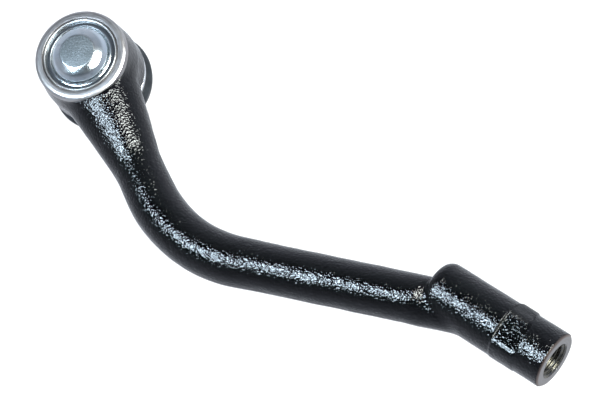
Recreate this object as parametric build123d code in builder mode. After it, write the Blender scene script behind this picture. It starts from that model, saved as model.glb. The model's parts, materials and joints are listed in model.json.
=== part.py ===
from build123d import *

import math
import os

# Outer tie rod end with a cranked forged arm and a sealed ball joint.
# Millimetres. The origin is at the mouth of the threaded sleeve, +X runs along the
# thread out of the mouth, and +Z runs along the ball stud's axis towards the cover plate.

os.makedirs("parts", exist_ok=True)

# ---- arm: overall layout ----
BALL_X = -221.6  # ball centre, on the sleeve's axis
ARM_MEETS_SLEEVE_X = -35.0  # where the arm's centre line reaches the sleeve's axis
EXIT_ANGLE = 29.0  # degrees between the arm and the sleeve's axis at the housing
ENTRY_ANGLE = 20.0  # the same at the sleeve
BEND_RADIUS = 55.0
ARM_D = 19.0

# ---- neck between housing and arm: distance from the ball, width, height, lift ----
NECK_ROOT = (10.0, 31.0, 22.6, 1.8)
NECK_MIDDLE = (28.0, 25.2, 21.6, 1.15)
NECK_END = (46.0, 19.2, 19.2, 0.0)

# ---- threaded sleeve ----
SLEEVE_D = 22.3
SLEEVE_LENGTH = 54.5
SLEEVE_BACK_ROUND = 4.2
SLEEVE_MOUTH_CHAMFER = 0.6
THREAD_MINOR_D = 12.376  # M14 x 1.5 nut thread, modelled at its minor diameter
THREAD_LENGTH = 38.0
DRILL_TIP_LENGTH = 3.6
COUNTERSINK_D = 14.6
WRENCH_BACK_X = -22.0
WRENCH_LENGTH = 10.0
WRENCH_BOSS_R = 11.5
WRENCH_BOSS_CENTRE = (0.25, 0.3)  # Y and Z: the boss stands proud on one side
# Direction of each flat in degrees from +Y towards +Z, and its distance from the axis.
WRENCH_FLATS = ((88.0, 9.45), (40.0, 10.5), (-88.0, 9.6), (-40.0, 10.6))

# ---- ball joint housing: radii, and heights above the ball centre ----
HOUSING_R = 19.4
HOUSING_WAIST = 2.0  # the draft starts here and narrows towards the rim
HOUSING_BOTTOM = -8.5
HOUSING_BOTTOM_ROUND = 1.8
RIM_R = 18.4
RIM_EDGE = 12.2
RIM_TOP = 14.7
RIM_CHAMFER = 1.4
RIM_INNER_R = 15.3
SPOT_FACE_R = 21.4  # clears the boot and its ring where the neck passes them
BOOT_SEAT_R = 15.4
BOOT_FLANGE_R = 16.2
BOOT_FLANGE_TOP = -12.6
SKIRT_BOTTOM = -13.5
BORE_R = 13.5
BORE_FLOOR = -6.0
STUD_OPENING_R = 10.0
STUD_MOUTH_R = 13.2
COVER_SEAT = 11.8
COVER_RECESS_R = 14.5
LIP_UNDERSIDE = 13.7
LIP_INNER_R = 13.7

# ---- inner pieces ----
BALL_R = 11.0
BALL_FLAT = 10.0
SEAT_SPHERE_R = 11.08
SEAT_OUTER_R = 13.42
LOWER_SEAT_TOP = 0.0
UPPER_SEAT_BOTTOM = 0.8
UPPER_SEAT_SHOULDER = 11.5
UPPER_SEAT_TOP = 14.3
UPPER_SEAT_HOLE_R = 6.0
UPPER_SEAT_BOSS_R = 9.3
SPRING_OUTER_R = 8.9
SPRING_INNER_R = 4.6
SPRING_RISE = 1.45
SPRING_THICKNESS = 1.1
COVER_FLANGE_R = 14.45
COVER_FLANGE_TOP = 13.65
COVER_TOP = 18.6
COVER_PLATEAU_R = 6.9
COVER_THICKNESS = 1.6

# ---- ball stud ----
STUD_NECK_R = 5.75
STUD_NECK_BOTTOM = -17.4
COLLAR_R = 7.4
COLLAR_TOP = -19.0
TAPER_TOP = -25.2
TAPER_TOP_R = 7.2
TAPER_BOTTOM = -41.6
TAPER_BOTTOM_R = 6.175  # 1 in 8 on diameter
THREAD_R = 6.0
THREAD_RELIEF_R = 5.1
STUD_THREAD_TOP = -43.6
STUD_END = -60.0
STUD_END_CHAMFER = 0.9
PIN_HOLE_D = 3.2
PIN_HOLE_Z = -55.8

# ---- boot and its rings ----
BOOT_LIP_R = 17.3
BOOT_LIP_TOP = -8.7
BOOT_BULGE_R = 20.0
BOOT_FOOT_R = 7.5
BOOT_FOOT_OUTER_R = 10.9
BOOT_FOOT_TOP = -19.2
BOOT_FOOT_BOTTOM = -25.0
BOOT_GROOVE_R = 10.2
CLAMP_RING_INNER_R = 17.4
CLAMP_RING_OUTER_R = 19.0
CLAMP_RING_TOP = -9.0
CLAMP_RING_HEIGHT = 1.6
CLIP_WIRE_R = 0.55
CLIP_R = 10.85
CLIP_Z = -23.4

# ---- reference geometry ----
ball_centre = Vector(BALL_X, 0, 0)
exit_direction = Vector(
    math.cos(math.radians(EXIT_ANGLE)), -math.sin(math.radians(EXIT_ANGLE)), 0
)
span = ARM_MEETS_SLEEVE_X - BALL_X
crank_reach = (
    span
    * math.sin(math.radians(ENTRY_ANGLE))
    / math.sin(math.radians(EXIT_ANGLE + ENTRY_ANGLE))
)
crank_point = ball_centre + exit_direction * crank_reach
stud_axis = Axis((BALL_X, 0, 0), (0, 0, 1))
# Radius from the stud's axis runs along the section's x, height along its y.
section = Plane(origin=(BALL_X, 0, 0), x_dir=(1, 0, 0), z_dir=(0, -1, 0))


def sphere_radius_at(height, radius):
    """Radius of a ball's circle at a height above its centre."""
    return math.sqrt(radius**2 - height**2)


# The arm, its neck, the joint housing and the threaded sleeve are one forging.
with BuildPart() as arm_forging:
    arm_start = ball_centre + exit_direction * NECK_MIDDLE[0]
    with BuildLine():
        arm_line = FilletPolyline(
            tuple(arm_start),
            tuple(crank_point),
            (ARM_MEETS_SLEEVE_X, 0, 0),
            radius=BEND_RADIUS,
        )
    with BuildSketch(Plane(origin=arm_line @ 0, z_dir=arm_line % 0)):
        Circle(ARM_D / 2)
    sweep()

    # The neck widens from the round arm to the housing.
    for reach, width, height, lift in (NECK_ROOT, NECK_MIDDLE, NECK_END):
        neck_centre = ball_centre + exit_direction * reach + Vector(0, 0, lift)
        with BuildSketch(
            Plane(origin=neck_centre, x_dir=(0, 0, 1), z_dir=exit_direction)
        ):
            Ellipse(height / 2, width / 2)
    loft()

    # Sleeve, turned about X, with a rounded back and a chamfered mouth.
    with BuildSketch(Plane.XY):
        with BuildLine():
            Polyline(
                (-SLEEVE_LENGTH, 0),
                (-SLEEVE_LENGTH, SLEEVE_D / 2 - SLEEVE_BACK_ROUND),
            )
            RadiusArc(
                (-SLEEVE_LENGTH, SLEEVE_D / 2 - SLEEVE_BACK_ROUND),
                (-SLEEVE_LENGTH + SLEEVE_BACK_ROUND, SLEEVE_D / 2),
                SLEEVE_BACK_ROUND,
            )
            Polyline(
                (-SLEEVE_LENGTH + SLEEVE_BACK_ROUND, SLEEVE_D / 2),
                (-SLEEVE_MOUTH_CHAMFER, SLEEVE_D / 2),
                (0, SLEEVE_D / 2 - SLEEVE_MOUTH_CHAMFER),
                (0, 0),
                (-SLEEVE_LENGTH, 0),
            )
        make_face()
    revolve(axis=Axis.X)

    # Wrench section: a slightly proud boss with flats above and below.
    with BuildSketch(Plane.YZ.offset(WRENCH_BACK_X)) as wrench:
        with Locations(WRENCH_BOSS_CENTRE):
            Circle(WRENCH_BOSS_R)
        for turn, distance in WRENCH_FLATS:
            with PolarLocations(distance, 1, start_angle=turn):
                Rectangle(
                    WRENCH_BOSS_R,
                    4 * WRENCH_BOSS_R,
                    align=(Align.MIN, Align.CENTER),
                    mode=Mode.SUBTRACT,
                )
    extrude(amount=WRENCH_LENGTH)
    with BuildSketch(Plane.YZ.offset(WRENCH_BACK_X)):
        Circle(2 * WRENCH_BOSS_R)
        add(wrench.sketch_local, mode=Mode.SUBTRACT)
    extrude(amount=WRENCH_LENGTH, mode=Mode.SUBTRACT)

    # Round spot face under the neck, which the boot and its ring reach into.
    with BuildSketch(Plane(origin=(BALL_X, 0, HOUSING_BOTTOM))):
        Circle(SPOT_FACE_R)
    extrude(amount=-ARM_D, mode=Mode.SUBTRACT)

    # Housing body with the boot seat below and the rolled lip on top.
    with BuildSketch(section):
        with BuildLine():
            Polyline(
                (0, SKIRT_BOTTOM),
                (BOOT_FLANGE_R, SKIRT_BOTTOM),
                (BOOT_FLANGE_R, BOOT_FLANGE_TOP),
                (BOOT_SEAT_R, BOOT_FLANGE_TOP),
                (BOOT_SEAT_R, HOUSING_BOTTOM),
                (HOUSING_R - HOUSING_BOTTOM_ROUND, HOUSING_BOTTOM),
                (HOUSING_R, HOUSING_BOTTOM + HOUSING_BOTTOM_ROUND),
                (HOUSING_R, HOUSING_WAIST),
                (RIM_R, RIM_EDGE),
                (RIM_R - RIM_CHAMFER, RIM_TOP),
                (RIM_INNER_R, RIM_TOP),
                (RIM_INNER_R - 0.25, RIM_TOP - 0.6),
                (RIM_INNER_R - 0.6, RIM_TOP - 0.6),
                (RIM_INNER_R - 0.9, RIM_TOP + 0.2),
                (LIP_INNER_R + 0.25, RIM_TOP + 0.1),
                (LIP_INNER_R, LIP_UNDERSIDE),
                (0, LIP_UNDERSIDE),
                close=True,
            )
        make_face()
    revolve(axis=stud_axis)

    # Cavity: stud opening, seat bore and cover recess.
    with BuildSketch(section):
        with BuildLine():
            Polyline(
                (0, SKIRT_BOTTOM),
                (STUD_MOUTH_R, SKIRT_BOTTOM),
                (STUD_OPENING_R, BORE_FLOOR),
                (BORE_R, BORE_FLOOR),
                (BORE_R, COVER_SEAT),
                (COVER_RECESS_R, COVER_SEAT),
                (COVER_RECESS_R, LIP_UNDERSIDE),
                (0, LIP_UNDERSIDE),
                close=True,
            )
        make_face()
    revolve(axis=stud_axis, mode=Mode.SUBTRACT)

    # Threaded bore with a countersunk mouth and a drill point.
    countersink_depth = (COUNTERSINK_D - THREAD_MINOR_D) / 2
    with BuildSketch(Plane.XY):
        with BuildLine():
            Polyline(
                (0, 0),
                (0, COUNTERSINK_D / 2),
                (-countersink_depth, THREAD_MINOR_D / 2),
                (-THREAD_LENGTH, THREAD_MINOR_D / 2),
                (-THREAD_LENGTH - DRILL_TIP_LENGTH, 0),
                close=True,
            )
        make_face()
    revolve(axis=Axis.X, mode=Mode.SUBTRACT)
arm_forging.part.label = "arm_forging"
export_step(arm_forging.part, "parts/arm_forging.step")

# Pressed cover plate that closes the housing under the rolled lip.
with BuildPart() as cover_plate:
    cover_inside = COVER_TOP - COVER_THICKNESS
    with BuildSketch(section):
        with BuildLine():
            Polyline(
                (0, COVER_TOP),
                (COVER_PLATEAU_R, COVER_TOP),
                (9.5, 17.3),
                (11.1, 15.6),
                (11.6, 14.2),
                (12.1, COVER_FLANGE_TOP),
                (COVER_FLANGE_R, COVER_FLANGE_TOP),
                (COVER_FLANGE_R, COVER_SEAT),
                (10.7, COVER_SEAT),
                (10.1, 14.2),
                (9.6, 15.3),
                (8.5, 16.3),
                (6.5, cover_inside),
                (0, cover_inside),
                close=True,
            )
        make_face()
    revolve(axis=stud_axis)
cover_plate.part.label = "cover_plate"
export_step(cover_plate.part, "parts/cover_plate.step")

# Disc spring that keeps the seats pressed on the ball.
with BuildPart() as preload_spring:
    with BuildSketch(section):
        with BuildLine():
            Polyline(
                (SPRING_OUTER_R, UPPER_SEAT_TOP),
                (SPRING_OUTER_R, UPPER_SEAT_TOP + SPRING_THICKNESS),
                (SPRING_INNER_R, UPPER_SEAT_TOP + SPRING_THICKNESS + SPRING_RISE),
                (SPRING_INNER_R, UPPER_SEAT_TOP + SPRING_RISE),
                close=True,
            )
        make_face()
    revolve(axis=stud_axis)
preload_spring.part.label = "preload_spring"
export_step(preload_spring.part, "parts/preload_spring.step")

# Upper plastic seat with a boss for the spring.
with BuildPart() as upper_seat:
    seat_start = (
        sphere_radius_at(UPPER_SEAT_BOTTOM, SEAT_SPHERE_R),
        UPPER_SEAT_BOTTOM,
    )
    seat_stop = (
        UPPER_SEAT_HOLE_R,
        sphere_radius_at(UPPER_SEAT_HOLE_R, SEAT_SPHERE_R),
    )
    with BuildSketch(section):
        with BuildLine():
            RadiusArc(seat_start, seat_stop, -SEAT_SPHERE_R)
            Polyline(
                seat_stop,
                (UPPER_SEAT_HOLE_R, UPPER_SEAT_TOP),
                (UPPER_SEAT_BOSS_R, UPPER_SEAT_TOP),
                (UPPER_SEAT_BOSS_R + 0.3, UPPER_SEAT_SHOULDER),
                (SEAT_OUTER_R, UPPER_SEAT_SHOULDER),
                (SEAT_OUTER_R, UPPER_SEAT_BOTTOM),
                seat_start,
            )
        make_face()
    revolve(axis=stud_axis)
upper_seat.part.label = "upper_seat"
export_step(upper_seat.part, "parts/upper_seat.step")

# Lower plastic seat ring under the ball.
with BuildPart() as lower_seat:
    ring_start = (sphere_radius_at(BORE_FLOOR, SEAT_SPHERE_R), BORE_FLOOR)
    ring_stop = (SEAT_SPHERE_R, LOWER_SEAT_TOP)
    with BuildSketch(section):
        with BuildLine():
            RadiusArc(ring_start, ring_stop, -SEAT_SPHERE_R)
            Polyline(
                ring_stop,
                (SEAT_OUTER_R, LOWER_SEAT_TOP),
                (SEAT_OUTER_R, BORE_FLOOR),
                ring_start,
            )
        make_face()
    revolve(axis=stud_axis)
lower_seat.part.label = "lower_seat"
export_step(lower_seat.part, "parts/lower_seat.step")

# Ball stud: ball, neck, boot collar, 1 in 8 taper and M12 thread with a pin hole.
with BuildPart() as ball_stud:
    flat_edge = (sphere_radius_at(BALL_FLAT, BALL_R), BALL_FLAT)
    neck_top = (STUD_NECK_R, -sphere_radius_at(STUD_NECK_R, BALL_R))
    with BuildSketch(section):
        with BuildLine():
            ThreePointArc(flat_edge, (BALL_R, 0), neck_top)
            Polyline(
                neck_top,
                (STUD_NECK_R, STUD_NECK_BOTTOM),
                (COLLAR_R, COLLAR_TOP),
                (COLLAR_R, TAPER_TOP),
                (TAPER_TOP_R, TAPER_TOP),
                (TAPER_BOTTOM_R, TAPER_BOTTOM),
                (THREAD_RELIEF_R, TAPER_BOTTOM - 0.6),
                (THREAD_RELIEF_R, STUD_THREAD_TOP + 0.9),
                (THREAD_R, STUD_THREAD_TOP),
                (THREAD_R, STUD_END + STUD_END_CHAMFER),
                (THREAD_R - STUD_END_CHAMFER, STUD_END),
                (0, STUD_END),
                (0, BALL_FLAT),
                flat_edge,
            )
        make_face()
    revolve(axis=stud_axis)
    with BuildSketch(Plane(origin=(BALL_X, 0, PIN_HOLE_Z), z_dir=(0, 1, 0))):
        Circle(PIN_HOLE_D / 2)
    extrude(amount=2 * THREAD_R, both=True, mode=Mode.SUBTRACT)
ball_stud.part.label = "ball_stud"
export_step(ball_stud.part, "parts/ball_stud.step")

# Rubber dust boot: upper lip on the housing, bulge, and foot on the stud's collar.
with BuildPart() as dust_boot:
    with BuildSketch(section):
        with BuildLine():
            Polyline(
                (BOOT_SEAT_R + 0.1, BOOT_FLANGE_TOP + 0.1),
                (BOOT_SEAT_R + 0.1, BOOT_LIP_TOP),
                (BOOT_LIP_R, BOOT_LIP_TOP),
                (BOOT_LIP_R, -11.2),
            )
            Spline(
                (BOOT_LIP_R, -11.2),
                (BOOT_BULGE_R, -15.0),
                (18.0, -20.2),
                (BOOT_FOOT_OUTER_R, -22.6),
            )
            Polyline(
                (BOOT_FOOT_OUTER_R, -22.6),
                (BOOT_GROOVE_R, -22.8),
                (BOOT_GROOVE_R, -24.0),
                (BOOT_FOOT_OUTER_R, -24.2),
                (BOOT_FOOT_OUTER_R, BOOT_FOOT_BOTTOM),
                (BOOT_FOOT_R, BOOT_FOOT_BOTTOM),
                (BOOT_FOOT_R, BOOT_FOOT_TOP),
                (9.2, BOOT_FOOT_TOP),
            )
            Spline(
                (9.2, BOOT_FOOT_TOP),
                (16.4, -18.4),
                (18.5, -15.4),
                (16.6, -12.7),
            )
            Polyline(
                (16.6, -12.7),
                (16.5, BOOT_FLANGE_TOP + 0.1),
                (BOOT_SEAT_R + 0.1, BOOT_FLANGE_TOP + 0.1),
            )
        make_face()
    revolve(axis=stud_axis)
dust_boot.part.label = "dust_boot"
export_step(dust_boot.part, "parts/dust_boot.step")

# Steel ring round the boot's upper lip.
with BuildPart() as boot_clamp_ring:
    with BuildSketch(Plane(origin=(BALL_X, 0, CLAMP_RING_TOP))):
        Circle(CLAMP_RING_OUTER_R)
        Circle(CLAMP_RING_INNER_R, mode=Mode.SUBTRACT)
    extrude(amount=-CLAMP_RING_HEIGHT)
    outer_edges = [
        edge
        for edge in boot_clamp_ring.edges().filter_by(GeomType.CIRCLE)
        if edge.radius > (CLAMP_RING_INNER_R + CLAMP_RING_OUTER_R) / 2
    ]
    fillet(outer_edges, CLAMP_RING_HEIGHT / 4)
boot_clamp_ring.part.label = "boot_clamp_ring"
export_step(boot_clamp_ring.part, "parts/boot_clamp_ring.step")

# Wire clip in the groove of the boot's foot.
with BuildPart() as boot_foot_clip:
    with BuildSketch(section):
        with Locations((CLIP_R, CLIP_Z)):
            Circle(CLIP_WIRE_R)
    revolve(axis=stud_axis)
boot_foot_clip.part.label = "boot_foot_clip"
export_step(boot_foot_clip.part, "parts/boot_foot_clip.step")
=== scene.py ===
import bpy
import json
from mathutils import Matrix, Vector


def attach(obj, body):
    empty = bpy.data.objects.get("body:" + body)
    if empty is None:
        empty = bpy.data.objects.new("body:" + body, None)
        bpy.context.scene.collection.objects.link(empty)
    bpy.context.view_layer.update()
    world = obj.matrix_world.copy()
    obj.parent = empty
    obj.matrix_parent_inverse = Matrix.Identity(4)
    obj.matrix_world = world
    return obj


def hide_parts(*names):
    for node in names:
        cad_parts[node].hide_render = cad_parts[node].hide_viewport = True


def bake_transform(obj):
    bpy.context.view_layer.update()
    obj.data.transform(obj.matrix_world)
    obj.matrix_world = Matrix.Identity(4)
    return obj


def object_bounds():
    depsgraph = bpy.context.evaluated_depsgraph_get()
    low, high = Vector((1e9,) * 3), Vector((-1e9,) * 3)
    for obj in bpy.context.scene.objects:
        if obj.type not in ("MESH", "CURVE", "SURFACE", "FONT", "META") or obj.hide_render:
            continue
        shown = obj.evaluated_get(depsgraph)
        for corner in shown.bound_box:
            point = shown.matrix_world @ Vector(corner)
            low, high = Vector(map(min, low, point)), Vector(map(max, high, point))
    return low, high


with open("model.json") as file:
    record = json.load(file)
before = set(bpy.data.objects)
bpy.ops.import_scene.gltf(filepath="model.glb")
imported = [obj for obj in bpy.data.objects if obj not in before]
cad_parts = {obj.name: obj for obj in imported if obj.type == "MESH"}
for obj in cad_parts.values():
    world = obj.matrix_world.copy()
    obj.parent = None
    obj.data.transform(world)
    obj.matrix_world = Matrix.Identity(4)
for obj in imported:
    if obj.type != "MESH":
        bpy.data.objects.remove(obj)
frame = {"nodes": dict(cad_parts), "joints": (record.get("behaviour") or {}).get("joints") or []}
CAD_BOX = [list(corner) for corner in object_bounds()]

import json
import math

import bmesh
import bpy
import numpy as np
from mathutils import Matrix, Vector

# Shapes are in millimetres until they go into a mesh. The camera, the stage and the
# lights are in metres.
MM = 0.001
PER_METRE = 1000.0
SEED = 11

BALL = PER_METRE * np.array(frame["joints"][0]["pos_m"])  # ball centre
BALL_X = float(BALL[0])
# Angles to the X axis at which the arm leaves the housing and meets the sleeve.
EXIT, ENTRY = math.radians(29.0), math.radians(20.0)


def add_object(name, data):
    made = bpy.data.objects.new(name, data)
    bpy.context.scene.collection.objects.link(made)
    return made


def give_material(piece, material):
    piece.data.materials.clear()
    piece.data.materials.append(material)


# ---------------------------------------------------------------- camera
CAMERA_PLACE = (0.3365, -0.1528, 1.1047)
CAMERA_TARGET = (-0.1181, 0.0, 0.0)
CAMERA_UP = (-0.495, 0.810, 0.315)
LENS, SENSOR_WIDTH = 192.0, 36.0
CLIP_NEAR, CLIP_FAR = 0.05, 60.0


def make_camera():
    data = bpy.data.cameras.new("camera")
    data.lens = LENS
    data.sensor_width = SENSOR_WIDTH
    data.clip_start = CLIP_NEAR
    data.clip_end = CLIP_FAR
    camera = add_object("camera", data)
    place = Vector(CAMERA_PLACE)
    back = (place - Vector(CAMERA_TARGET)).normalized()
    up = Vector(CAMERA_UP)
    up = (up - up.dot(back) * back).normalized()
    right = up.cross(back)
    camera.matrix_world = Matrix(
        (
            (right.x, up.x, back.x, place.x),
            (right.y, up.y, back.y, place.y),
            (right.z, up.z, back.z, place.z),
            (0, 0, 0, 1),
        )
    )
    bpy.context.scene.camera = camera


make_camera()


# ---------------------------------------------------------------- node helpers
class Shader:
    """A material's node tree with its Principled shader."""

    def __init__(self, name, **values):
        self.material = bpy.data.materials.new(name)
        self.material.use_nodes = True
        self.nodes = self.material.node_tree.nodes
        self.links = self.material.node_tree.links
        self.bsdf = self.nodes["Principled BSDF"]
        for key, value in values.items():
            self.bsdf.inputs[key.replace("_", " ")].default_value = value
        self.place = self.nodes.new("ShaderNodeTexCoord").outputs["Object"]

    def node(self, kind, inputs=None, **settings):
        made = self.nodes.new("ShaderNode" + kind)
        for key, value in settings.items():
            setattr(made, key, value)
        for key, value in (inputs or {}).items():
            if isinstance(value, bpy.types.NodeSocket):
                self.links.new(value, made.inputs[key])
            else:
                made.inputs[key].default_value = value
        return made

    def math(self, operation, a, b=0.0, c=0.0):
        return self.node("Math", {0: a, 1: b, 2: c}, operation=operation).outputs[0]

    def noise(self, size, detail=2.0, rough=0.5, vector=None):
        """Fine noise whose features are about size millimetres."""
        made = self.node(
            "TexNoise",
            {
                "Vector": vector or self.place,
                "Scale": 1.0 / (size * MM),
                "Detail": detail,
                "Roughness": rough,
            },
        )
        return made.outputs[0]

    def uneven(self, size, low, high, detail=2.0):
        """A value that wanders between low and high over patches of about size."""
        return self.spread(self.noise(size, detail), 0.3, 0.7, low, high)

    def radius(self, axis):
        """Distance from the stud's axis or from the sleeve's axis, in millimetres."""
        if axis == "z":
            centre, keep = (-BALL_X * MM, 0, 0), (1, 1, 0)
        else:
            centre, keep = (0, 0, 0), (0, 1, 1)
        moved = self.node("VectorMath", {0: self.place, 1: centre}, operation="ADD")
        flat = self.node(
            "VectorMath", {0: moved.outputs[0], 1: keep}, operation="MULTIPLY"
        )
        length = self.node("VectorMath", {0: flat.outputs[0]}, operation="LENGTH")
        return self.math("MULTIPLY", length.outputs["Value"], PER_METRE)

    def axis_value(self, axis):
        """Place along one axis, in millimetres."""
        parts = self.node("SeparateXYZ", {0: self.place})
        return self.math("MULTIPLY", parts.outputs["XYZ".index(axis)], PER_METRE)

    def spread(self, value, low, high, to_low=0.0, to_high=1.0, smooth=True):
        """Maps low..high onto to_low..to_high, and holds the value beyond them."""
        made = self.node(
            "MapRange",
            {
                "Value": value,
                "From Min": low,
                "From Max": high,
                "To Min": to_low,
                "To Max": to_high,
            },
        )
        made.interpolation_type = "SMOOTHSTEP" if smooth else "LINEAR"
        return made.outputs[0]

    def mix(self, factor, a, b):
        made = self.node("Mix", data_type="RGBA")
        for index, value in ((0, factor), (6, a), (7, b)):
            if isinstance(value, bpy.types.NodeSocket):
                self.links.new(value, made.inputs[index])
            else:
                made.inputs[index].default_value = (
                    value if index == 0 else (*value, 1.0)
                )
        return made.outputs[2]

    def ramp(self, factor, stops):
        made = self.node("ValToRGB", {"Fac": factor})
        ramp = made.color_ramp
        while len(ramp.elements) > 1:
            ramp.elements.remove(ramp.elements[-1])
        for index, (at, colour) in enumerate(stops):
            element = ramp.elements[0] if index == 0 else ramp.elements.new(at)
            element.position = at
            element.color = (*colour, 1.0)
        return made.outputs["Color"]

    def bump(self, *layers):
        """Each layer is a height (0 to 1) and its full depth in millimetres."""
        total = None
        for height, depth in layers:
            part = self.math("MULTIPLY", height, depth * MM)
            total = part if total is None else self.math("ADD", total, part)
        made = self.node("Bump", {"Height": total, "Distance": 1.0, "Strength": 1.0})
        self.links.new(made.outputs[0], self.bsdf.inputs["Normal"])

    def set(self, socket, value):
        self.links.new(value, self.bsdf.inputs[socket])


# ---------------------------------------------------------------- materials
# The coat's bump: the size of its features and their full depth.
GRAIN_SIZE, GRAIN_DEPTH = 0.80, 0.25
PIT_SIZE, PIT_DEPTH = 0.46, 0.05
SWELL_SIZE, SWELL_DEPTH = 3.4, 0.12
# Roughness added in the wrench section's dull area, and the neck's share of it.
DULL_ROUGHNESS, NECK_SHARE = 0.22, 0.35
# Turned rings on bare steel.
RING_PITCH, RING_DEPTH = 0.85, 0.007
TURNED_ROUGHNESS = (0.32, 0.37)


def coated_forging():
    s = Shader("coated_forging", Specular_IOR_Level=0.5)
    grain = s.noise(GRAIN_SIZE, detail=1.0)
    pits = s.noise(PIT_SIZE, detail=0.0)
    swell = s.noise(SWELL_SIZE)
    patches = s.noise(11.0, detail=3.0)
    dust = s.noise(2.4, detail=4.0, rough=0.7)
    s.set(
        "Base Color",
        s.mix(
            s.spread(dust, 0.45, 0.75),
            (0.0002, 0.0003, 0.0005),
            (0.0008, 0.0010, 0.0014),
        ),
    )
    # Matched to the photo, where two areas reflect less: the wrench section's upper
    # +Y side, and the neck's side towards -Y.
    x, y, z = (s.axis_value(axis) for axis in "XYZ")
    along = s.math("MULTIPLY", s.spread(x, -22.4, -21.4), s.spread(x, -12.6, -14.0))
    across = s.math("MULTIPLY", s.spread(y, 3.6, 5.2), s.spread(z, -1.0, 1.0))
    wrench = s.math("MULTIPLY", along, across)
    from_ball = s.math("ADD", x, -BALL_X)
    sideways = s.math(
        "MULTIPLY_ADD",
        from_ball,
        math.sin(EXIT),
        s.math("MULTIPLY", y, math.cos(EXIT)),
    )
    neck = s.math(
        "MULTIPLY", s.spread(sideways, 0.5, -2.5), s.spread(x, -176.0, -190.0)
    )
    dull = s.math("MAXIMUM", wrench, s.math("MULTIPLY", neck, NECK_SHARE))
    gloss = s.spread(patches, 0.3, 0.7, 0.08, 0.13)
    s.set("Roughness", s.math("MULTIPLY_ADD", dull, DULL_ROUGHNESS, gloss))
    s.bump((grain, GRAIN_DEPTH), (pits, PIT_DEPTH), (swell, SWELL_DEPTH))
    return s.material


def turned_steel(name, axis, colours):
    """Bare steel with fine turned rings, its colours placed by radius."""
    s = Shader(name, Metallic=1.0)
    r = s.radius(axis)
    wobble = s.noise(5.0)
    # Streaks that follow the turning: quick across the rings, slow along them.
    drift = s.node("VectorMath", {0: s.place, 1: (0.1, 0.1, 0.1)}, operation="MULTIPLY")
    ring = s.node("CombineXYZ", {"X": s.math("MULTIPLY", r, MM)})
    follow = s.node(
        "VectorMath", {0: drift.outputs[0], 1: ring.outputs[0]}, operation="ADD"
    )
    streaks = s.noise(0.55, vector=follow.outputs[0])
    low, high, stops = colours
    # Colours by radius. For the rim these carry painted shade and painted highlights.
    colour = s.ramp(s.spread(r, low, high, smooth=False), stops)
    s.set(
        "Base Color",
        s.mix(s.spread(streaks, 0.36, 0.64, 0.0, 0.45), colour, (0.22, 0.19, 0.175)),
    )
    phase = s.math("MULTIPLY", s.math("ADD", r, wobble), 2 * math.pi / RING_PITCH)
    rings = s.math("SINE", phase)
    s.set("Roughness", s.uneven(1.3, *TURNED_ROUGHNESS, detail=3.0))
    s.bump((rings, RING_DEPTH), (s.noise(0.8), 0.008))
    return s.material


def zinc_cover():
    """Zinc plate: a flat top with its own fine grain, darkened with painted shade; a smooth
    shoulder; and painted shade on the outer ring next to the rim's lip.
    """
    s = Shader("zinc_plated_cover", Metallic=1.0)
    grain = s.noise(0.62, rough=0.6)
    bloom = s.noise(2.6, detail=3.0)
    tint = s.noise(7.0)
    r = s.radius("z")
    flat_top = s.spread(r, 7.1, 6.5)
    # Painted shade: the outer ring darkens towards the rim's lip.
    painted_flange_shade = s.spread(r, 11.7, 13.2, 0.0, 0.75)
    base = s.mix(s.spread(tint, 0.35, 0.7), (0.76, 0.85, 0.90), (0.83, 0.87, 0.89))
    base = s.mix(s.spread(bloom, 0.5, 0.8, 0.0, 0.5), base, (0.45, 0.53, 0.58))
    base = s.mix(painted_flange_shade, base, (0.22, 0.25, 0.27))
    # The flat top's grain is its own; its darker tone is painted shade.
    grain_and_painted_shade = s.mix(
        s.spread(grain, 0.3, 0.7), (0.165, 0.185, 0.198), (0.27, 0.30, 0.315)
    )
    s.set("Base Color", s.mix(flat_top, base, grain_and_painted_shade))
    gloss = s.spread(tint, 0.3, 0.7, 0.14, 0.20)
    s.set("Roughness", s.math("ADD", gloss, s.math("MULTIPLY", flat_top, 0.21)))
    depth = s.math("MULTIPLY_ADD", flat_top, 0.85, 0.15)
    s.bump((s.math("MULTIPLY", grain, depth), 0.08), (bloom, 0.03))
    return s.material


def bright_zinc():
    s = Shader("bright_steel", Metallic=1.0)
    bloom = s.noise(1.4, detail=3.0)
    s.set(
        "Base Color",
        s.mix(s.spread(bloom, 0.4, 0.7), (0.90, 0.91, 0.92), (0.74, 0.77, 0.80)),
    )
    s.set("Roughness", s.uneven(0.6, 0.16, 0.3))
    s.bump((s.noise(0.35), 0.01), (bloom, 0.01))
    return s.material


def stud_steel():
    """Polished ball, then a turned taper and a darker rolled thread."""
    s = Shader("stud_steel", Metallic=1.0)
    z = s.axis_value("Z")
    ball = s.spread(z, -11.5, -9.5)
    thread = s.spread(z, -42.0, -43.5)
    stains = s.noise(1.8, detail=4.0, rough=0.6)
    base = s.mix(s.spread(stains, 0.4, 0.8), (0.56, 0.55, 0.54), (0.40, 0.38, 0.36))
    base = s.mix(thread, base, (0.36, 0.35, 0.34))
    base = s.mix(ball, base, (0.64, 0.64, 0.65))
    s.set("Base Color", base)
    rough = s.uneven(0.8, 0.24, 0.38, detail=3.0)
    polish = s.math("MULTIPLY_ADD", ball, -0.6, 1.0)
    s.set("Roughness", s.math("MULTIPLY", rough, polish))
    tool_pitch = 0.22
    rings = s.math("SINE", s.math("MULTIPLY", z, 2 * math.pi / tool_pitch))
    turned = s.math("MULTIPLY", rings, s.math("SUBTRACT", 1.0, ball))
    s.bump((turned, 0.003), (s.noise(0.5), 0.012))
    return s.material


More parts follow.
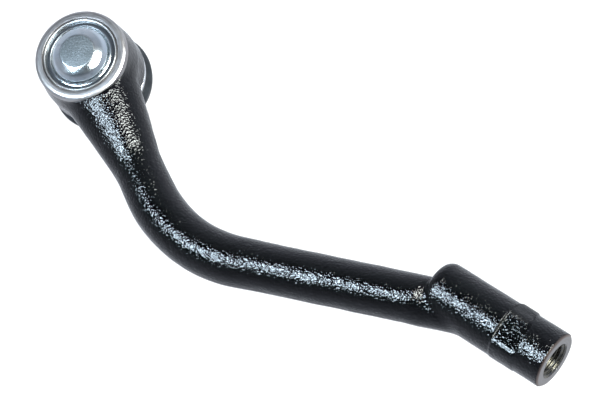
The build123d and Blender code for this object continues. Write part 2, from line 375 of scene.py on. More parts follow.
def boot_rubber():
    s = Shader("boot_rubber", Specular_IOR_Level=0.3)
    bloom = s.noise(4.0, detail=4.0, rough=0.6)
    s.set(
        "Base Color",
        s.mix(
            s.spread(bloom, 0.35, 0.75), (0.008, 0.010, 0.012), (0.016, 0.019, 0.023)
        ),
    )
    s.set("Roughness", s.uneven(1.2, 0.38, 0.52, detail=3.0))
    s.bump((s.noise(0.3, 3.0), 0.012), (bloom, 0.03))
    return s.material


def seat_plastic():
    s = Shader("seat_plastic", Subsurface_Weight=0.15, Subsurface_Scale=0.002)
    bloom = s.noise(3.0, detail=3.0)
    s.set(
        "Base Color",
        s.mix(s.spread(bloom, 0.35, 0.7), (0.80, 0.79, 0.74), (0.72, 0.70, 0.64)),
    )
    s.set("Roughness", s.uneven(0.8, 0.34, 0.5))
    s.bump((s.noise(0.4, 3.0), 0.012))
    return s.material


def spring_steel():
    s = Shader("spring_steel", Metallic=1.0)
    stains = s.noise(1.6, detail=4.0, rough=0.65)
    s.set(
        "Base Color",
        s.mix(s.spread(stains, 0.35, 0.7), (0.34, 0.34, 0.36), (0.22, 0.20, 0.19)),
    )
    s.set("Roughness", s.uneven(0.7, 0.26, 0.42))
    s.bump((s.noise(0.4, 3.0), 0.012))
    return s.material


# Turned steel: its inner and outer radius, and the colours from the one to the other.
# The rim's colours are mostly painted light: painted shade inside the rolled lip and in the
# groove, painted highlights on the lip's top and on the chamfer, and darker painted shade on the
# outer side. Only the flat face keeps the steel's own grey.
RIM_STEEL_AND_PAINTED_LIGHT = (
    12.8,
    18.6,
    (
        (0.00, (0.10, 0.10, 0.10)),
        (0.19, (0.26, 0.26, 0.27)),
        (0.24, (0.62, 0.62, 0.62)),
        (0.32, (0.50, 0.50, 0.50)),
        (0.36, (0.12, 0.115, 0.115)),
        (0.41, (0.12, 0.115, 0.115)),
        (0.45, (0.43, 0.42, 0.43)),
        (0.74, (0.46, 0.45, 0.455)),
        (0.80, (0.56, 0.55, 0.55)),
        (0.94, (0.50, 0.49, 0.49)),
        (1.00, (0.34, 0.33, 0.33)),
    ),
)
MOUTH_STEEL = (
    6.0,
    11.0,
    (
        (0.00, (0.16, 0.15, 0.13)),
        (0.24, (0.285, 0.28, 0.275)),
        (0.40, (0.30, 0.29, 0.285)),
        (0.84, (0.295, 0.285, 0.275)),
        (0.92, (0.26, 0.20, 0.17)),
        (1.00, (0.04, 0.027, 0.022)),
    ),
)

COATED = coated_forging()
RIM = turned_steel("turned_rim_steel", "z", RIM_STEEL_AND_PAINTED_LIGHT)
MOUTH = turned_steel("turned_mouth_steel", "x", MOUTH_STEEL)
ZINC = zinc_cover()
BRIGHT = bright_zinc()
STUD = stud_steel()
RUBBER = boot_rubber()
PLASTIC = seat_plastic()
SPRING = spring_steel()


# ---------------------------------------------------------------- mesh helpers
ARC_STEP = math.radians(11)  # widest angle between two points of a rounded corner
EDGE_SHARE = 0.49  # most that a rounded corner takes of each edge beside it
MERGE_DISTANCE = 2e-6  # in metres


def build_object(name, points, faces, material, sharp=None, normals=None):
    """Points in millimetres, in the row frame. sharp is the crease angle in degrees."""
    mesh = bpy.data.meshes.new(name)
    mesh.from_pydata((np.asarray(points) * MM).tolist(), [], [list(f) for f in faces])
    mesh.validate()
    mesh.materials.append(material)
    mesh.shade_smooth()
    if sharp is not None:
        mesh.set_sharp_from_angle(angle=math.radians(sharp))
    if normals is not None:
        mesh.normals_split_custom_set_from_vertices(normals.tolist())
    return add_object(name, mesh)


def rounded(corners):
    """A profile through (a, b, radius) corners, each turned into an arc."""
    out = []
    count = len(corners)
    for i, (a, b, radius) in enumerate(corners):
        here = np.array((a, b), float)
        if radius <= 0:
            out.append(here)
            continue
        before = np.array(corners[i - 1][:2], float) - here
        after = np.array(corners[(i + 1) % count][:2], float) - here
        back, fore = np.linalg.norm(before), np.linalg.norm(after)
        before, after = before / back, after / fore
        half = math.acos(float(np.clip(before @ after, -1, 1))) / 2
        reach = min(radius / math.tan(half), EDGE_SHARE * back, EDGE_SHARE * fore)
        radius = reach * math.tan(half)
        centre = here + (before + after) / np.linalg.norm(before + after) * (
            radius / math.sin(half)
        )
        start, stop = here + before * reach - centre, here + after * reach - centre
        turn = math.pi - 2 * half
        steps = max(2, math.ceil(turn / ARC_STEP))
        for k in range(steps + 1):
            f = k / steps
            w0 = math.sin((1 - f) * turn) / math.sin(turn)
            w1 = math.sin(f * turn) / math.sin(turn)
            out.append(centre + start * w0 + stop * w1)
    return np.array(out)


def ring_faces(rows, steps, closed=False):
    """Quads between rings of points, and from the last ring to the first if closed."""
    faces = []
    for i in range(rows if closed else rows - 1):
        lower, upper = i * steps, (i + 1) % rows * steps
        for j in range(steps):
            k = (j + 1) % steps
            faces.append((lower + j, lower + k, upper + k, upper + j))
    return faces


def lathe(name, profile, material, steps, axis="z", closed=True, sharp=30):
    """Turns (radius, height) points about the stud's axis, or about the sleeve's."""
    profile = np.asarray(profile, float)
    angle = np.arange(steps) * 2 * math.pi / steps
    r = profile[:, 0][:, None]
    h = np.repeat(profile[:, 1][:, None], steps, axis=1)
    if axis == "z":
        xyz = (BALL_X + r * np.cos(angle), r * np.sin(angle), h)
    else:
        xyz = (h, r * np.cos(angle), r * np.sin(angle))
    points = np.stack(xyz, axis=-1).reshape(-1, 3)
    faces = ring_faces(len(profile), steps, closed)
    made = build_object(name, points, faces, material, sharp)
    tidy_normals(made, sharp)
    return made


def tidy_normals(made, sharp):
    """Joins points that meet and turns every face outward."""
    work = bmesh.new()
    work.from_mesh(made.data)
    bmesh.ops.remove_doubles(work, verts=work.verts, dist=MERGE_DISTANCE)
    bmesh.ops.recalc_face_normals(work, faces=work.faces)
    work.to_mesh(made.data)
    work.free()
    made.data.shade_smooth()
    made.data.set_sharp_from_angle(angle=math.radians(sharp))


class Noise:
    """Smooth lattice noise in three dimensions, about -1 to 1."""

    CELLS = 64  # along each axis, before the pattern repeats

    def __init__(self, size, seed):
        self.size = size
        self.table = np.random.default_rng(seed).uniform(-1, 1, (self.CELLS,) * 3)

    def __call__(self, p):
        q = p / self.size
        cell = np.floor(q).astype(int)
        f = q - cell
        f = f * f * f * (f * (f * 6 - 15) + 10)
        total = 0.0
        for dx in (0, 1):
            wx = f[..., 0] if dx else 1 - f[..., 0]
            for dy in (0, 1):
                wy = f[..., 1] if dy else 1 - f[..., 1]
                for dz in (0, 1):
                    wz = f[..., 2] if dz else 1 - f[..., 2]
                    total = total + wx * wy * wz * self.table[
                        (cell[..., 0] + dx) % self.CELLS,
                        (cell[..., 1] + dy) % self.CELLS,
                        (cell[..., 2] + dz) % self.CELLS,
                    ]
        return total


# ---------------------------------------------------------------- the forging
# The arm's centre line: two straight runs with a bend between them.
BEND_R = 55.0
ARM_MEETS_SLEEVE_X = -35.0
ARM_R = 9.5
ARM_BACK, ARM_FRONT = 2.0, 96.0  # how far the arm runs on past the ball and the bend
# The arm is a little fatter round the bend, and fades into it over these lengths.
BEND_EXTRA = 0.35
FADE_IN, FADE_OUT = (14, 8), (16, 6)
# The neck's half widths, and where along the arm it narrows.
NECK_WIDE, NECK_NARROW, NECK_LIMIT = 15.5, 9.6, 16.5
NECK_START, NECK_LENGTH = 10.0, 36.0
# The section's middle and its half height move by these, so the top moves by twice
# as much and the underside stays level.
NECK_LIFT, LIFT_END, LIFT_LENGTH = 2.4, 45.0, 26.0
SLEEVE_DIP, DIP_START, DIP_LENGTH = 0.75, -56.5, 6.0

SLEEVE_R, SLEEVE_LENGTH, SLEEVE_ROUND = 11.15, 54.5, 4.2
BORE_R, BORE_DEPTH = 7.35, 42.0
# Wrench section: its radius and centre, the angle and distance of each flat, its two
# ends, and how the front end slants back beyond a distance towards +Y.
BOSS_R, BOSS_OFFSET = 11.55, (0.15, 0.25)
WRENCH_FLATS = ((91.0, 9.1), (40.0, 10.5), (-88.0, 9.6), (-40.0, 10.6))
WRENCH_BACK, WRENCH_FRONT = -22.0, -11.6
SLANT, SLANT_START = 0.42, 4.0

HOUSING_R, RIM_R, RIM_EDGE, WAIST = 19.4, 18.46, 11.8, 2.0
SPOT_R, BOTTOM, CORNER_R = 21.4, -8.5, 1.7
UNDER_RIM_R, NECK_TOP = 18.2, 14.4
# How softly two shapes run into each other.
NECK_BLEND, HOUSING_BLEND, SLEEVE_BLEND = 0.9, 2.2, 0.9
FLAT_BLEND, CUT_BLEND, BOSS_EDGE_BLEND, BOSS_BLEND = 1.3, 0.3, 0.6, 0.5
# Parts of the X range that the housing and the sleeve are worked out for.
HOUSING_ZONE, SLEEVE_ZONE = BALL_X + 34, -66
END_FACE = -0.62  # the forging stops here, under the sleeve_mouth piece

# The forged surface, and the trimmed flash round the middle plane.
LUMP_DEPTH, RIPPLE_DEPTH = 0.07, 0.035
FLASH_WIDTH, FLASH_HEIGHT, FLASH_CHANGE = 0.8, 0.10, 0.05

# The grid that the surface is found on, and how its points are pulled onto it.
GRID_STEP, QUICK_GRID_STEP = 0.52, 0.8
GRID_LOW, GRID_HIGH = (BALL_X - 21.5, -54.0, -15.0), (1.0, 22.0, 15.5)
PULL_ROUNDS, PULL_LIMIT = 3, 0.25
GRADIENT_WIDTH = 0.04

exit_dir = np.array((math.cos(EXIT), -math.sin(EXIT)))
entry_dir = np.array((math.cos(ENTRY), math.sin(ENTRY)))
span = ARM_MEETS_SLEEVE_X - BALL_X
reach = span * math.sin(ENTRY) / math.sin(EXIT + ENTRY)
ball_xy = BALL[:2]
crank_xy = ball_xy + exit_dir * reach
tangent = BEND_R * math.tan((EXIT + ENTRY) / 2)
bend_start = crank_xy - exit_dir * tangent
bend_end = crank_xy + entry_dir * tangent
bend_centre = bend_start + BEND_R * np.array((-exit_dir[1], exit_dir[0]))
START_S = reach - tangent
END_S = START_S + BEND_R * (EXIT + ENTRY)


def smooth_min(a, b, k):
    h = np.maximum(k - np.abs(a - b), 0) / k
    return np.minimum(a, b) - h * h * k / 4


def smooth_max(a, b, k):
    return -smooth_min(-a, -b, k)


def polygon_distance(r, z, corners):
    """Signed distance to a closed outline, negative inside."""
    best = np.full(r.shape, 1e9)
    inside = np.zeros(r.shape, bool)
    count = len(corners)
    for i in range(count):
        ar, az = corners[i]
        br, bz = corners[(i + 1) % count]
        er, ez = br - ar, bz - az
        t = np.clip(((r - ar) * er + (z - az) * ez) / (er * er + ez * ez), 0, 1)
        dr, dz = r - ar - t * er, z - az - t * ez
        best = np.minimum(best, dr * dr + dz * dz)
        if az != bz:
            crosses = ((az > z) != (bz > z)) & (r < er * (z - az) / ez + ar)
            inside ^= crosses
    distance = np.sqrt(best)
    return np.where(inside, -distance, distance)


def along_arm(x, y):
    """Distance along the arm from the ball, and from its centre line towards +Y."""
    from_ball = np.stack((x - ball_xy[0], y - ball_xy[1]))
    s1 = exit_dir[0] * from_ball[0] + exit_dir[1] * from_ball[1]
    u1 = -exit_dir[1] * from_ball[0] + exit_dir[0] * from_ball[1]
    from_end = np.stack((x - bend_end[0], y - bend_end[1]))
    s2 = entry_dir[0] * from_end[0] + entry_dir[1] * from_end[1]
    u2 = -entry_dir[1] * from_end[0] + entry_dir[0] * from_end[1]
    dx, dy = x - bend_centre[0], y - bend_centre[1]
    turn = np.arctan2(
        dx * exit_dir[0] + dy * exit_dir[1], dx * exit_dir[1] - dy * exit_dir[0]
    )
    s3, u3 = START_S + BEND_R * turn, BEND_R - np.hypot(dx, dy)
    before, after = s1 < START_S, s2 > 0
    s = np.where(before, s1, np.where(after, END_S + s2, s3))
    u = np.where(before, u1, np.where(after, u2, u3))
    return s, u


def smooth_step(value, low, high):
    t = np.clip((value - low) / (high - low), 0, 1)
    return t * t * (3 - 2 * t)


def smooth_ramp(t):
    """Rises evenly from 0 to 1, with a soft start."""
    soft = 0.10
    start = np.maximum(t + soft, 0) ** 2 / (4 * soft)
    return np.clip(np.where(t < soft, start, t), 0, 1)


def arm_distance(x, y, z):
    s, u = along_arm(x, y)
    into = smooth_step(s, START_S - FADE_IN[0], START_S + FADE_IN[1])
    out_of = smooth_step(-s, -END_S - FADE_OUT[0], -END_S + FADE_OUT[1])
    plain = ARM_R + BEND_EXTRA * (into * out_of)
    taper = NECK_WIDE + (s - NECK_START) * (NECK_NARROW - NECK_WIDE) / NECK_LENGTH
    wide = smooth_max(np.clip(taper, 0, NECK_LIMIT), plain, NECK_BLEND)
    # The top rises to the housing's rim.
    lift = NECK_LIFT * smooth_ramp((LIFT_END - s) / LIFT_LENGTH)
    # It dips just before the sleeve, whose back end stands proud of it.
    dip = SLEEVE_DIP * smooth_ramp((x - DIP_START) / DIP_LENGTH)
    high = plain + lift - dip
    z = z - lift + dip
    k0 = np.hypot(u / wide, z / high)
    k1 = np.hypot(u / wide**2, z / high**2)
    d = k0 * (k0 - 1) / np.maximum(k1, 1e-6)
    # Close to the centre line that estimate fails, and a rough one is enough.
    d = np.where(k0 < 0.2, -np.minimum(wide, high) * (1 - k0), d)
    ends = np.maximum(-s - ARM_BACK, s - (END_S + ARM_FRONT))
    return np.maximum(d, ends)


BODY_OUTLINE = (
    (0, BOTTOM),
    (HOUSING_R, BOTTOM),
    (HOUSING_R, WAIST),
    (RIM_R, RIM_EDGE),
    (0, RIM_EDGE),
)
SKIRT_OUTLINE = (
    (0, -13.5),
    (16.2, -13.5),
    (16.2, -12.6),
    (15.4, -12.6),
    (15.4, BOTTOM + 2),
    (0, BOTTOM + 2),
)
CAVITY_OUTLINE = (
    (0, -14.5),
    (13.63, -14.5),
    (10.0, -6.0),
    (13.5, -6.0),
    (13.5, 11.8),
    (14.5, 11.8),
    (14.5, 16.0),
    (0, 16.0),
)


def housing_distances(x, y, z):
    r = np.hypot(x - BALL_X, y)
    body = polygon_distance(r, z, BODY_OUTLINE)
    # A rounded lower corner.
    corner_r, corner_z = HOUSING_R - CORNER_R, BOTTOM + CORNER_R
    inset = np.hypot(np.maximum(r - corner_r, 0), np.maximum(corner_z - z, 0))
    inset = inset - CORNER_R
    body = np.where((r > corner_r) & (z < corner_z), inset, body)
    skirt = polygon_distance(r, z, SKIRT_OUTLINE)
    cavity = polygon_distance(r, z, CAVITY_OUTLINE)
    spot = np.maximum(r - SPOT_R, z - BOTTOM)
    return body, skirt, cavity, spot


def sleeve_distance(x, y, z):
    r = np.hypot(y, z)
    back = -x - (SLEEVE_LENGTH - SLEEVE_ROUND)
    rounded_back = (
        np.hypot(np.maximum(back, 0), np.maximum(r - (SLEEVE_R - SLEEVE_ROUND), 0))
        - SLEEVE_ROUND
    )
    side = r - SLEEVE_R
    body = np.where(back > 0, np.maximum(rounded_back, back - SLEEVE_ROUND), side)
    # Wrench section: a little proud of the sleeve, with a nearly level flat above and
    # below, and a bevel from each of them towards +Y.
    boss = np.hypot(y - BOSS_OFFSET[0], z - BOSS_OFFSET[1]) - BOSS_R
    for angle, half in WRENCH_FLATS:
        angle = math.radians(angle)
        flat = y * math.cos(angle) + z * math.sin(angle) - half
        boss = smooth_max(boss, flat, FLAT_BLEND)
    # Its front end slants back towards +Y, the inside of the bend.
    front = x - (WRENCH_FRONT - SLANT * np.maximum(y - SLANT_START, 0))
    slab = np.maximum(WRENCH_BACK - x, front)
    body = smooth_max(body, smooth_min(-slab, boss, CUT_BLEND), CUT_BLEND)
    body = smooth_min(body, smooth_max(slab, boss, BOSS_EDGE_BLEND), BOSS_BLEND)
    bore = np.maximum(r - BORE_R, -x - BORE_DEPTH)
    return body, bore


lumps = Noise(7.5, SEED)
ripples = Noise(2.6, SEED + 1)
flash_noise = Noise(4.0, SEED + 2)


def forging_distance(p):
    """Distance to the forging's surface, negative inside."""
    x, y, z = p[..., 0], p[..., 1], p[..., 2]
    d = arm_distance(x, y, z)
    near = x < HOUSING_ZONE
    r_ball = np.hypot(x - BALL_X, y)
    body, skirt, cavity, spot = housing_distances(x[near], y[near], z[near])
    joined = smooth_min(body, d[near], HOUSING_BLEND)
    joined = np.maximum(joined, -spot)
    joined = np.minimum(joined, skirt)
    # The neck's top stays just under the rim's face.
    limit = np.where(r_ball[near] < UNDER_RIM_R, RIM_EDGE, NECK_TOP)
    d[near] = np.maximum(joined, z[near] - limit)
    front = x > SLEEVE_ZONE
    sleeve, bore = sleeve_distance(x[front], y[front], z[front])
    d[front] = smooth_min(d[front], sleeve, SLEEVE_BLEND)
    d = d - LUMP_DEPTH * lumps(p) - RIPPLE_DEPTH * ripples(p)
    ridge = np.exp(-((z / FLASH_WIDTH) ** 2)) * (
        FLASH_HEIGHT + FLASH_CHANGE * flash_noise(p)
    )
    # The flash fades out at the housing and at the sleeve.
    d = d - ridge * smooth_step(r_ball, 19.9, 24) * smooth_step(-x, 50, 58)
    d[near] = np.maximum(d[near], -cavity)
    d[front] = np.maximum(d[front], -bore)
    return np.maximum(d, x - END_FACE)


def surface_net(field, low, step):
    """A point for each cell that the surface crosses, a quad for each crossed edge."""
    inside = field < 0
    shape = np.array(field.shape) - 1
    corners = [(dx, dy, dz) for dx in (0, 1) for dy in (0, 1) for dz in (0, 1)]

    def shifted(array, c):
        return array[
            c[0] : c[0] + shape[0], c[1] : c[1] + shape[1], c[2] : c[2] + shape[2]
        ]

    count = sum(shifted(inside, c).astype(np.int8) for c in corners)
    active = np.argwhere((count > 0) & (count < 8))
    total = np.zeros((len(active), 3))
    hits = np.zeros(len(active))
    for a in corners:
        for axis in range(3):
            if a[axis]:
                continue
            b = list(a)
            b[axis] = 1
            fa = field[tuple((active + a).T)]
            fb = field[tuple((active + b).T)]
            crossed = (fa < 0) != (fb < 0)
            t = np.where(crossed, fa / np.where(crossed, fa - fb, 1), 0)
            point = np.array(a, float) + t[:, None] * (np.array(b) - np.array(a))
            total += np.where(crossed[:, None], point, 0)
            hits += crossed
    points = low + step * (active + total / hits[:, None])
    index = np.full(shape, -1)
    index[tuple(active.T)] = np.arange(len(active))
    faces = []
    for axis in range(3):
        u, v = [k for k in range(3) if k != axis]
        a = np.swapaxes(inside, 0, axis)
        cut = np.swapaxes(a[:-1] != a[1:], 0, axis)
        where = np.argwhere(cut)
        ok = (
            (where[:, u] > 0)
            & (where[:, v] > 0)
            & (where[:, u] < shape[u])
            & (where[:, v] < shape[v])
        )
        where = where[ok]
        quad = []
        for du, dv in ((0, 0), (1, 0), (1, 1), (0, 1)):
            cell = where.copy()
            cell[:, u] -= du
            cell[:, v] -= dv
            quad.append(index[tuple(cell.T)])
        quad = np.stack(quad, axis=1)
        flip = inside[tuple(where.T)]
        if axis != 1:
            flip = ~flip
        quad[flip] = quad[flip][:, ::-1]
        faces.append(quad)
    return points, np.concatenate(faces)


def gradient(points):
    out = np.empty_like(points)
    for axis in range(3):
        step = np.zeros(3)
        step[axis] = GRADIENT_WIDTH
        out[:, axis] = (
            forging_distance(points + step) - forging_distance(points - step)
        ) / (2 * GRADIENT_WIDTH)
    return out


def make_forging():
    step = GRID_STEP
    low, high = np.array(GRID_LOW), np.array(GRID_HIGH)
    counts = np.ceil((high - low) / step).astype(int) + 1
    lines = [low[k] + step * np.arange(counts[k]) for k in range(3)]
    grids = np.meshgrid(*lines, indexing="ij")
    field = forging_distance(np.stack(grids, axis=-1))
    points, faces = surface_net(field, low, step)
    for _ in range(PULL_ROUNDS):
        d = forging_distance(points)
        g = gradient(points)
        length = np.maximum((g * g).sum(axis=1), 0.3)
        move = -(d / length)[:, None] * g
        points = points + np.clip(move, -PULL_LIMIT, PULL_LIMIT)
    g = gradient(points)
    normals = g / np.maximum(np.linalg.norm(g, axis=1), 1e-6)[:, None]
    return build_object("forged_arm", points, faces, COATED, normals=normals)


forged_arm = make_forging()

# Turned rim: rounded edge, flat face, groove and the lip rolled over the cover plate.
RIM_PROFILE = rounded(
    (
        (18.48, 11.6, 0),
        (18.52, 11.9, 0.15),
        (18.40, 13.2, 0.8),
        (18.2, 14.1, 0.5),
        (17.3, 14.62, 1.2),
        (16.2, 14.7, 0.6),
        (15.3, 14.7, 0.12),
        (15.15, 14.25, 0.08),
        (14.85, 14.25, 0.08),
        (14.55, 14.9, 0.2),
        (14.1, 14.8, 0.2),
        (13.75, 13.7, 0.1),
        (14.45, 13.7, 0),
        (14.6, 12.8, 0),
        (16.6, 12.4, 0),
        (17.0, 11.6, 0),
    )
)
turned_rim = lathe("turned_rim", RIM_PROFILE, RIM, steps=256)

# Turned end face of the sleeve, with its small outer chamfer.
MOUTH_PROFILE = rounded(
    (
        (11.03, -1.2, 0),
        (11.03, -0.6, 0.1),
        (10.4, 0.0, 0.15),
        (7.32, 0.0, 0.06),
        (7.2, -1.2, 0),
    )
)
sleeve_mouth = lathe("sleeve_mouth", MOUTH_PROFILE, MOUTH, axis="x", steps=224)


# Height across one pitch of a rounded thread of about 60 degrees.
THREAD_SHAPE = (0.0, 0.12, 0.5, 0.88, 1.0, 0.88, 0.5, 0.12)
PER_TURN = len(THREAD_SHAPE)
THREAD_SHARP = 35  # crease angle in degrees


def thread_row(row, crest, root):
    return root + (crest - root) * THREAD_SHAPE[row % PER_TURN]


def helix(columns, pitch, start, stop, radius_at):
    """Rows of points that follow a right-handed thread between two heights."""
    first = int(math.floor(start / pitch * PER_TURN)) - PER_TURN
    last = int(math.ceil(stop / pitch * PER_TURN)) + PER_TURN
    rows = []
    for row in range(first, last + 1):
        line = []
        for j in range(columns + 1):
            h = (row / PER_TURN + j / columns) * pitch
            h = min(max(h, start), stop)
            line.append((h, radius_at(row, h), 2 * math.pi * j / columns))
        rows.append(line)
    return rows


def strip_faces(rows, columns):
    """Quads between open rows of points, which have one point more than columns."""
    faces = []
    wide = columns + 1
    for i in range(rows - 1):
        for j in range(columns):
            a = i * wide + j
            faces.append((a, a + 1, a + wide + 1, a + wide))
    return faces


def make_sleeve_thread():
    """M14 x 1.5 thread with its countersunk mouth and drill point."""
    columns, pitch = 72, 1.5
    depth, front, point_length = 38.0, -0.02, 3.6
    major, minor, mouth = 7.0, 6.19, 7.3
    fade_length = 3.0  # the thread runs out over this length at its inner end
    lip_x, lip_r = -0.05, 7.34

    def radius_at(row, h):
        thread = thread_row(row, major, minor)
        fade = min(max((h + depth) / fade_length, 0), 1)
        thread = minor + (thread - minor) * fade
        return max(thread, mouth + h)

    rows = helix(columns, pitch, -depth, front, radius_at)
    points = [
        (h, r * math.cos(a), r * math.sin(a)) for line in rows for h, r, a in line
    ]
    faces = strip_faces(len(rows), columns)
    wide = columns + 1
    tip = len(points)
    points.append((-depth - point_length, 0.0, 0.0))
    faces += [(j + 1, j, tip) for j in range(columns)]
    # The mouth turns out under the end face.
    top = (len(rows) - 1) * wide
    ring = len(points)
    for j in range(wide):
        a = 2 * math.pi * j / columns
        points.append((lip_x, lip_r * math.cos(a), lip_r * math.sin(a)))
    faces += [(top + j, top + j + 1, ring + j + 1, ring + j) for j in range(columns)]
    made = build_object("sleeve_thread_form", points, faces, thread_steel())
    tidy_normals(made, THREAD_SHARP)
    # Seen from inside the bore, so the faces turn towards the axis.
    made.data.flip_normals()
    return made


def thread_steel():
    s = Shader("sleeve_thread_steel", Metallic=1.0)
    x = s.axis_value("X")
    stains = s.noise(1.5, detail=4.0, rough=0.65)
    base = s.mix(
        s.spread(stains, 0.35, 0.7), (0.21, 0.195, 0.155), (0.08, 0.085, 0.095)
    )
    # Painted shade: the thread darkens deeper into the bore.
    base = s.mix(s.spread(x, -3.0, -14.0), base, (0.05, 0.065, 0.08))
    s.set("Base Color", base)
    s.set("Roughness", s.uneven(0.6, 0.2, 0.34))
    s.bump((s.noise(0.3, 3.0), 0.012))
    return s.material


sleeve_thread_form = make_sleeve_thread()

# ---------------------------------------------------------------- cover plate
COVER_PROFILE = rounded(
    (
        (0.0, 18.6, 0),
        (6.9, 18.6, 2.4),
        (9.75, 17.2, 3.0),
        (11.25, 15.5, 1.4),
        (11.75, 13.65, 2.0),
        (14.4, 13.65, 0.1),
        (14.4, 11.85, 0),
        (10.9, 11.85, 0.4),
        (10.1, 14.2, 0.8),
        (9.6, 15.3, 0.8),
        (8.5, 16.3, 0.8),
        (6.5, 17.0, 1.5),
        (0.0, 17.0, 0),
    )
)
domed_cover = lathe(
    "domed_cover", COVER_PROFILE, ZINC, steps=256, closed=False, sharp=40
)

# ---------------------------------------------------------------- dust boot
BOOT_PROFILE = rounded(
    (
        (15.5, -12.5, 0),
        (15.5, -8.72, 0.3),
        (17.2, -8.72, 0.35),
        (17.25, -11.2, 0.5),
        (18.6, -12.1, 1.4),
        (20.25, -14.6, 2.6),
        (19.4, -18.4, 3.2),
        (16.0, -21.4, 3.0),
        (11.4, -22.3, 0.8),
        (10.8, -22.75, 0.2),
        (10.2, -22.9, 0.2),
        (10.2, -23.95, 0.2),
        (10.85, -24.1, 0.25),
        (10.85, -24.95, 0.4),
        (7.45, -24.95, 0.2),
        (7.45, -21.0, 0.8),
        (7.9, -19.3, 0.4),
        (9.4, -19.2, 0.6),
        (15.2, -18.9, 1.6),
        (18.4, -16.6, 2.0),
        (18.0, -14.0, 1.4),
        (16.5, -12.7, 0.4),
    )
)
boot_cover = lathe("boot_cover", BOOT_PROFILE, RUBBER, steps=192, sharp=50)

# ---------------------------------------------------------------- ball stud
BALL_R = 11.0
BALL_ARC = (65.4, -58.5)  # the angles where the ball's outline starts and stops
BALL_FLAT = ((0.0, 10.0), (2.4, 10.0))  # the flat on its top
# Neck, collar, taper and relief, below the ball.
STUD_PROFILE = (
    (5.75, -17.4, 0.8),
    (7.4, -19.0, 0.3),
    (7.4, -25.1, 0.25),
    (7.2, -25.3, 0.1),
    (6.175, -41.6, 0.3),
    (5.1, -42.3, 0.4),
    (5.1, -42.9, 0.2),
)
# M12 x 1.25 thread, from the relief to the stud's end.
STUD_PITCH, STUD_MAJOR, STUD_MINOR = 1.25, 6.0, 5.25
RELIEF_R, RELIEF_LENGTH = 5.1, 0.35
STUD_THREAD_TOP, STUD_END = -42.9, -60.0
PIN_HOLE_Z = -55.8
# Distance from the stud's axis and radius: the hole and a chamfer at each end.
PIN_HOLE = ((-8, 2.6), (-6.3, 2.6), (-5.2, 1.6), (5.2, 1.6), (6.3, 2.6), (8, 2.6))


def make_stud():
    arc = [
        (BALL_R * math.cos(a), BALL_R * math.sin(a))
        for a in np.linspace(math.radians(BALL_ARC[0]), math.radians(BALL_ARC[1]), 60)
    ]
    tail = rounded(((arc[-1][0], arc[-1][1], 0),) + STUD_PROFILE)
    body = np.array(list(BALL_FLAT) + arc + [tuple(q) for q in tail[1:]])
    columns = 96
    angle = np.arange(columns + 1) * 2 * math.pi / columns
    points = [
        (BALL_X + r * math.cos(a), r * math.sin(a), h) for r, h in body for a in angle
    ]
    faces = strip_faces(len(body), columns)
    thread_length = STUD_THREAD_TOP - STUD_END

    def radius_at(row, h):
        # h runs downward from the relief to the stud's end.
        thread = thread_row(row, STUD_MAJOR, STUD_MINOR)
        lead = RELIEF_R + max(h - RELIEF_LENGTH, 0)
        end = RELIEF_R + max(thread_length - h, 0)
        return min(thread, lead, end)

    rows = helix(columns, STUD_PITCH, 0.0, thread_length, radius_at)
    start = len(points)
    # Height runs down the stud, so the angle runs backwards to keep the thread
    # right-handed.
    points += [
        (BALL_X + r * math.cos(-a), r * math.sin(-a), STUD_THREAD_TOP - h)
        for line in rows
        for h, r, a in line
    ]
    faces += [tuple(start + k for k in f) for f in strip_faces(len(rows), columns)]
    end = start + (len(rows) - 1) * (columns + 1)
    tip = len(points)
    points.append((BALL_X, 0.0, STUD_END))
    faces += [(end + j, end + j + 1, tip) for j in range(columns)]
    made = build_object("turned_stud", points, faces, STUD)
    tidy_normals(made, THREAD_SHARP)
    cutter = make_pin_hole_cutter()
    cut = made.modifiers.new("pin_hole", "BOOLEAN")
    cut.operation, cut.object, cut.solver = "DIFFERENCE", cutter, "EXACT"
    bpy.context.view_layer.objects.active = made
    bpy.ops.object.modifier_apply(modifier=cut.name)
    bpy.data.objects.remove(cutter)
    give_material(made, STUD)
    made.data.shade_smooth()
    made.data.set_sharp_from_angle(angle=math.radians(THREAD_SHARP))
    return made


def make_pin_hole_cutter():
    """The split pin's hole, with a small chamfer at each end."""
    steps = 40
    points = []
    for y, r in PIN_HOLE:
        for j in range(steps):
            a = 2 * math.pi * j / steps
            points.append((BALL_X + r * math.cos(a), y, PIN_HOLE_Z + r * math.sin(a)))
    faces = ring_faces(len(PIN_HOLE), steps)
    last = (len(PIN_HOLE) - 1) * steps
    faces.append(tuple(range(steps))[::-1])
    faces.append(tuple(last + j for j in range(steps)))
    made = build_object("pin_hole_cutter", points, faces, STUD)
    tidy_normals(made, THREAD_SHARP)
    return made


turned_stud = make_stud()

# ---------------------------------------------------------------- frame
for piece, node, body, slot in (
    (forged_arm, "arm_forging", "housing", "coated_forging"),
    (turned_rim, "arm_forging", "housing", "coated_forging"),
    (sleeve_mouth, "arm_forging", "housing", "coated_forging"),
    (sleeve_thread_form, "arm_forging", "housing", "coated_forging"),
    (domed_cover, "cover_plate", "housing", "zinc_plated_cover"),
    (turned_stud, "ball_stud", "stud", "stud_steel"),
):
    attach(piece, body)
    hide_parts(node)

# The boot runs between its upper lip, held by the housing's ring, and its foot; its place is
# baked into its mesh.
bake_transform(boot_cover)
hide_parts("dust_boot")

for node, material in (
    ("boot_clamp_ring", BRIGHT),
    ("boot_foot_clip", BRIGHT),
    ("upper_seat", PLASTIC),
    ("lower_seat", PLASTIC),
    ("preload_spring", SPRING),
):
    give_material(frame["nodes"][node], material)

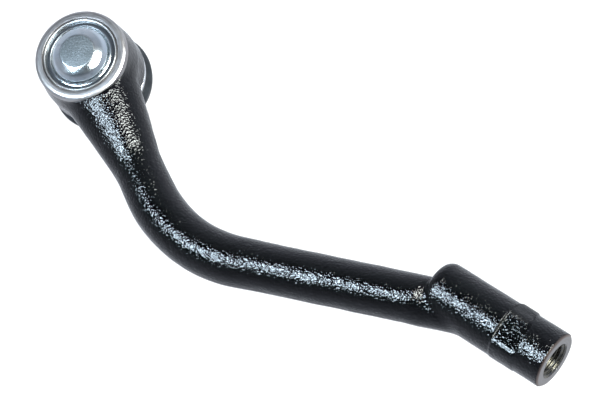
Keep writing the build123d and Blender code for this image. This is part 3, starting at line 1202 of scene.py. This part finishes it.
# ---------------------------------------------------------------- stage
FLOOR_Z = CAD_BOX[0][2] - 0.0005
FLOOR_GLOW = 0.92
FLOOR_PROFILE = (
    (0.0, 0.0),
    (7.0, 0.0),
    (8.0, 0.15),
    (8.7, 0.6),
    (9.0, 1.3),
    (9.0, 5.0),
)


def make_stage():
    """A pale round floor that turns up into a wall, metres away from the object."""
    steps = 96
    points = []
    for r, h in FLOOR_PROFILE:
        for j in range(steps):
            a = 2 * math.pi * j / steps
            points.append((r * math.cos(a), r * math.sin(a), FLOOR_Z + h))
    mesh = bpy.data.meshes.new("stage")
    mesh.from_pydata(points, [], ring_faces(len(FLOOR_PROFILE), steps))
    mesh.shade_smooth()
    floor = add_object("stage", mesh)
    s = Shader(
        "pale_floor",
        Base_Color=(0.12, 0.12, 0.12, 1),
        Roughness=0.9,
        Specular_IOR_Level=0.0,
        Emission_Color=(1, 1, 1, 1),
        Emission_Strength=FLOOR_GLOW,
    )
    mesh.materials.append(s.material)
    floor.visible_glossy = False


make_stage()

SOFTBOX_DISTANCE = 1.4


def make_softbox(name, direction, side, radiance, colour):
    """A square lamp that faces the middle of the object."""
    direction = Vector(direction).normalized()
    data = bpy.data.lights.new(name, "AREA")
    data.shape = "RECTANGLE"
    data.size = data.size_y = side
    data.energy = radiance * math.pi * side * side
    data.color = colour
    lamp = add_object(name, data)
    lamp.rotation_mode = "QUATERNION"
    lamp.rotation_quaternion = direction.to_track_quat("Z", "Y")
    lamp.location = Vector(CAMERA_TARGET) + direction * SOFTBOX_DISTANCE


make_softbox("softbox_left", (-0.28, -0.37, 0.89), 0.44, 49.0, (0.71, 0.865, 1.0))
make_softbox("softbox_right", (0.47, 0.27, 0.84), 0.82, 30.0, (0.95, 1.0, 0.97))

# The world's light by height, from -1 straight below to 1 straight above, along an
# axis that leans towards -Y. Matched to the reflections in the photo.
WORLD_AXIS = (0.06, -0.23, 0.97)
WORLD_STOPS = (
    (-1.0, (0.85, 0.90, 0.98)),
    (-0.60, (0.78, 0.83, 0.93)),
    (-0.20, (0.60, 0.65, 0.76)),
    (0.02, (0.62, 0.67, 0.78)),
    (0.14, (0.40, 0.43, 0.50)),
    (0.28, (0.035, 0.04, 0.05)),
    (0.75, (0.03, 0.034, 0.04)),
    (1.0, (0.03, 0.034, 0.04)),
)


def make_world():
    """A grey studio seen in reflections, under a dark ceiling."""
    world = bpy.data.worlds.new("studio")
    bpy.context.scene.world = world
    world.use_nodes = True
    nodes, links = world.node_tree.nodes, world.node_tree.links
    place = nodes.new("ShaderNodeTexCoord")
    height = nodes.new("ShaderNodeVectorMath")
    height.operation = "DOT_PRODUCT"
    height.inputs[1].default_value = WORLD_AXIS
    links.new(place.outputs["Generated"], height.inputs[0])
    half = nodes.new("ShaderNodeMapRange")
    half.inputs["From Min"].default_value = -1.0
    links.new(height.outputs["Value"], half.inputs["Value"])
    ramp = nodes.new("ShaderNodeValToRGB")
    links.new(half.outputs[0], ramp.inputs[0])
    elements = ramp.color_ramp.elements
    while len(elements) > 1:
        elements.remove(elements[-1])
    for index, (level, colour) in enumerate(WORLD_STOPS):
        element = elements[0] if index == 0 else elements.new(0.5)
        element.position = (level + 1) / 2
        element.color = (*colour, 1)
    links.new(ramp.outputs[0], nodes["Background"].inputs[0])


make_world()

view = bpy.context.scene.view_settings
view.view_transform = "Standard"
view.look = "None"
view.exposure = 0.0
view.gamma = 1.0
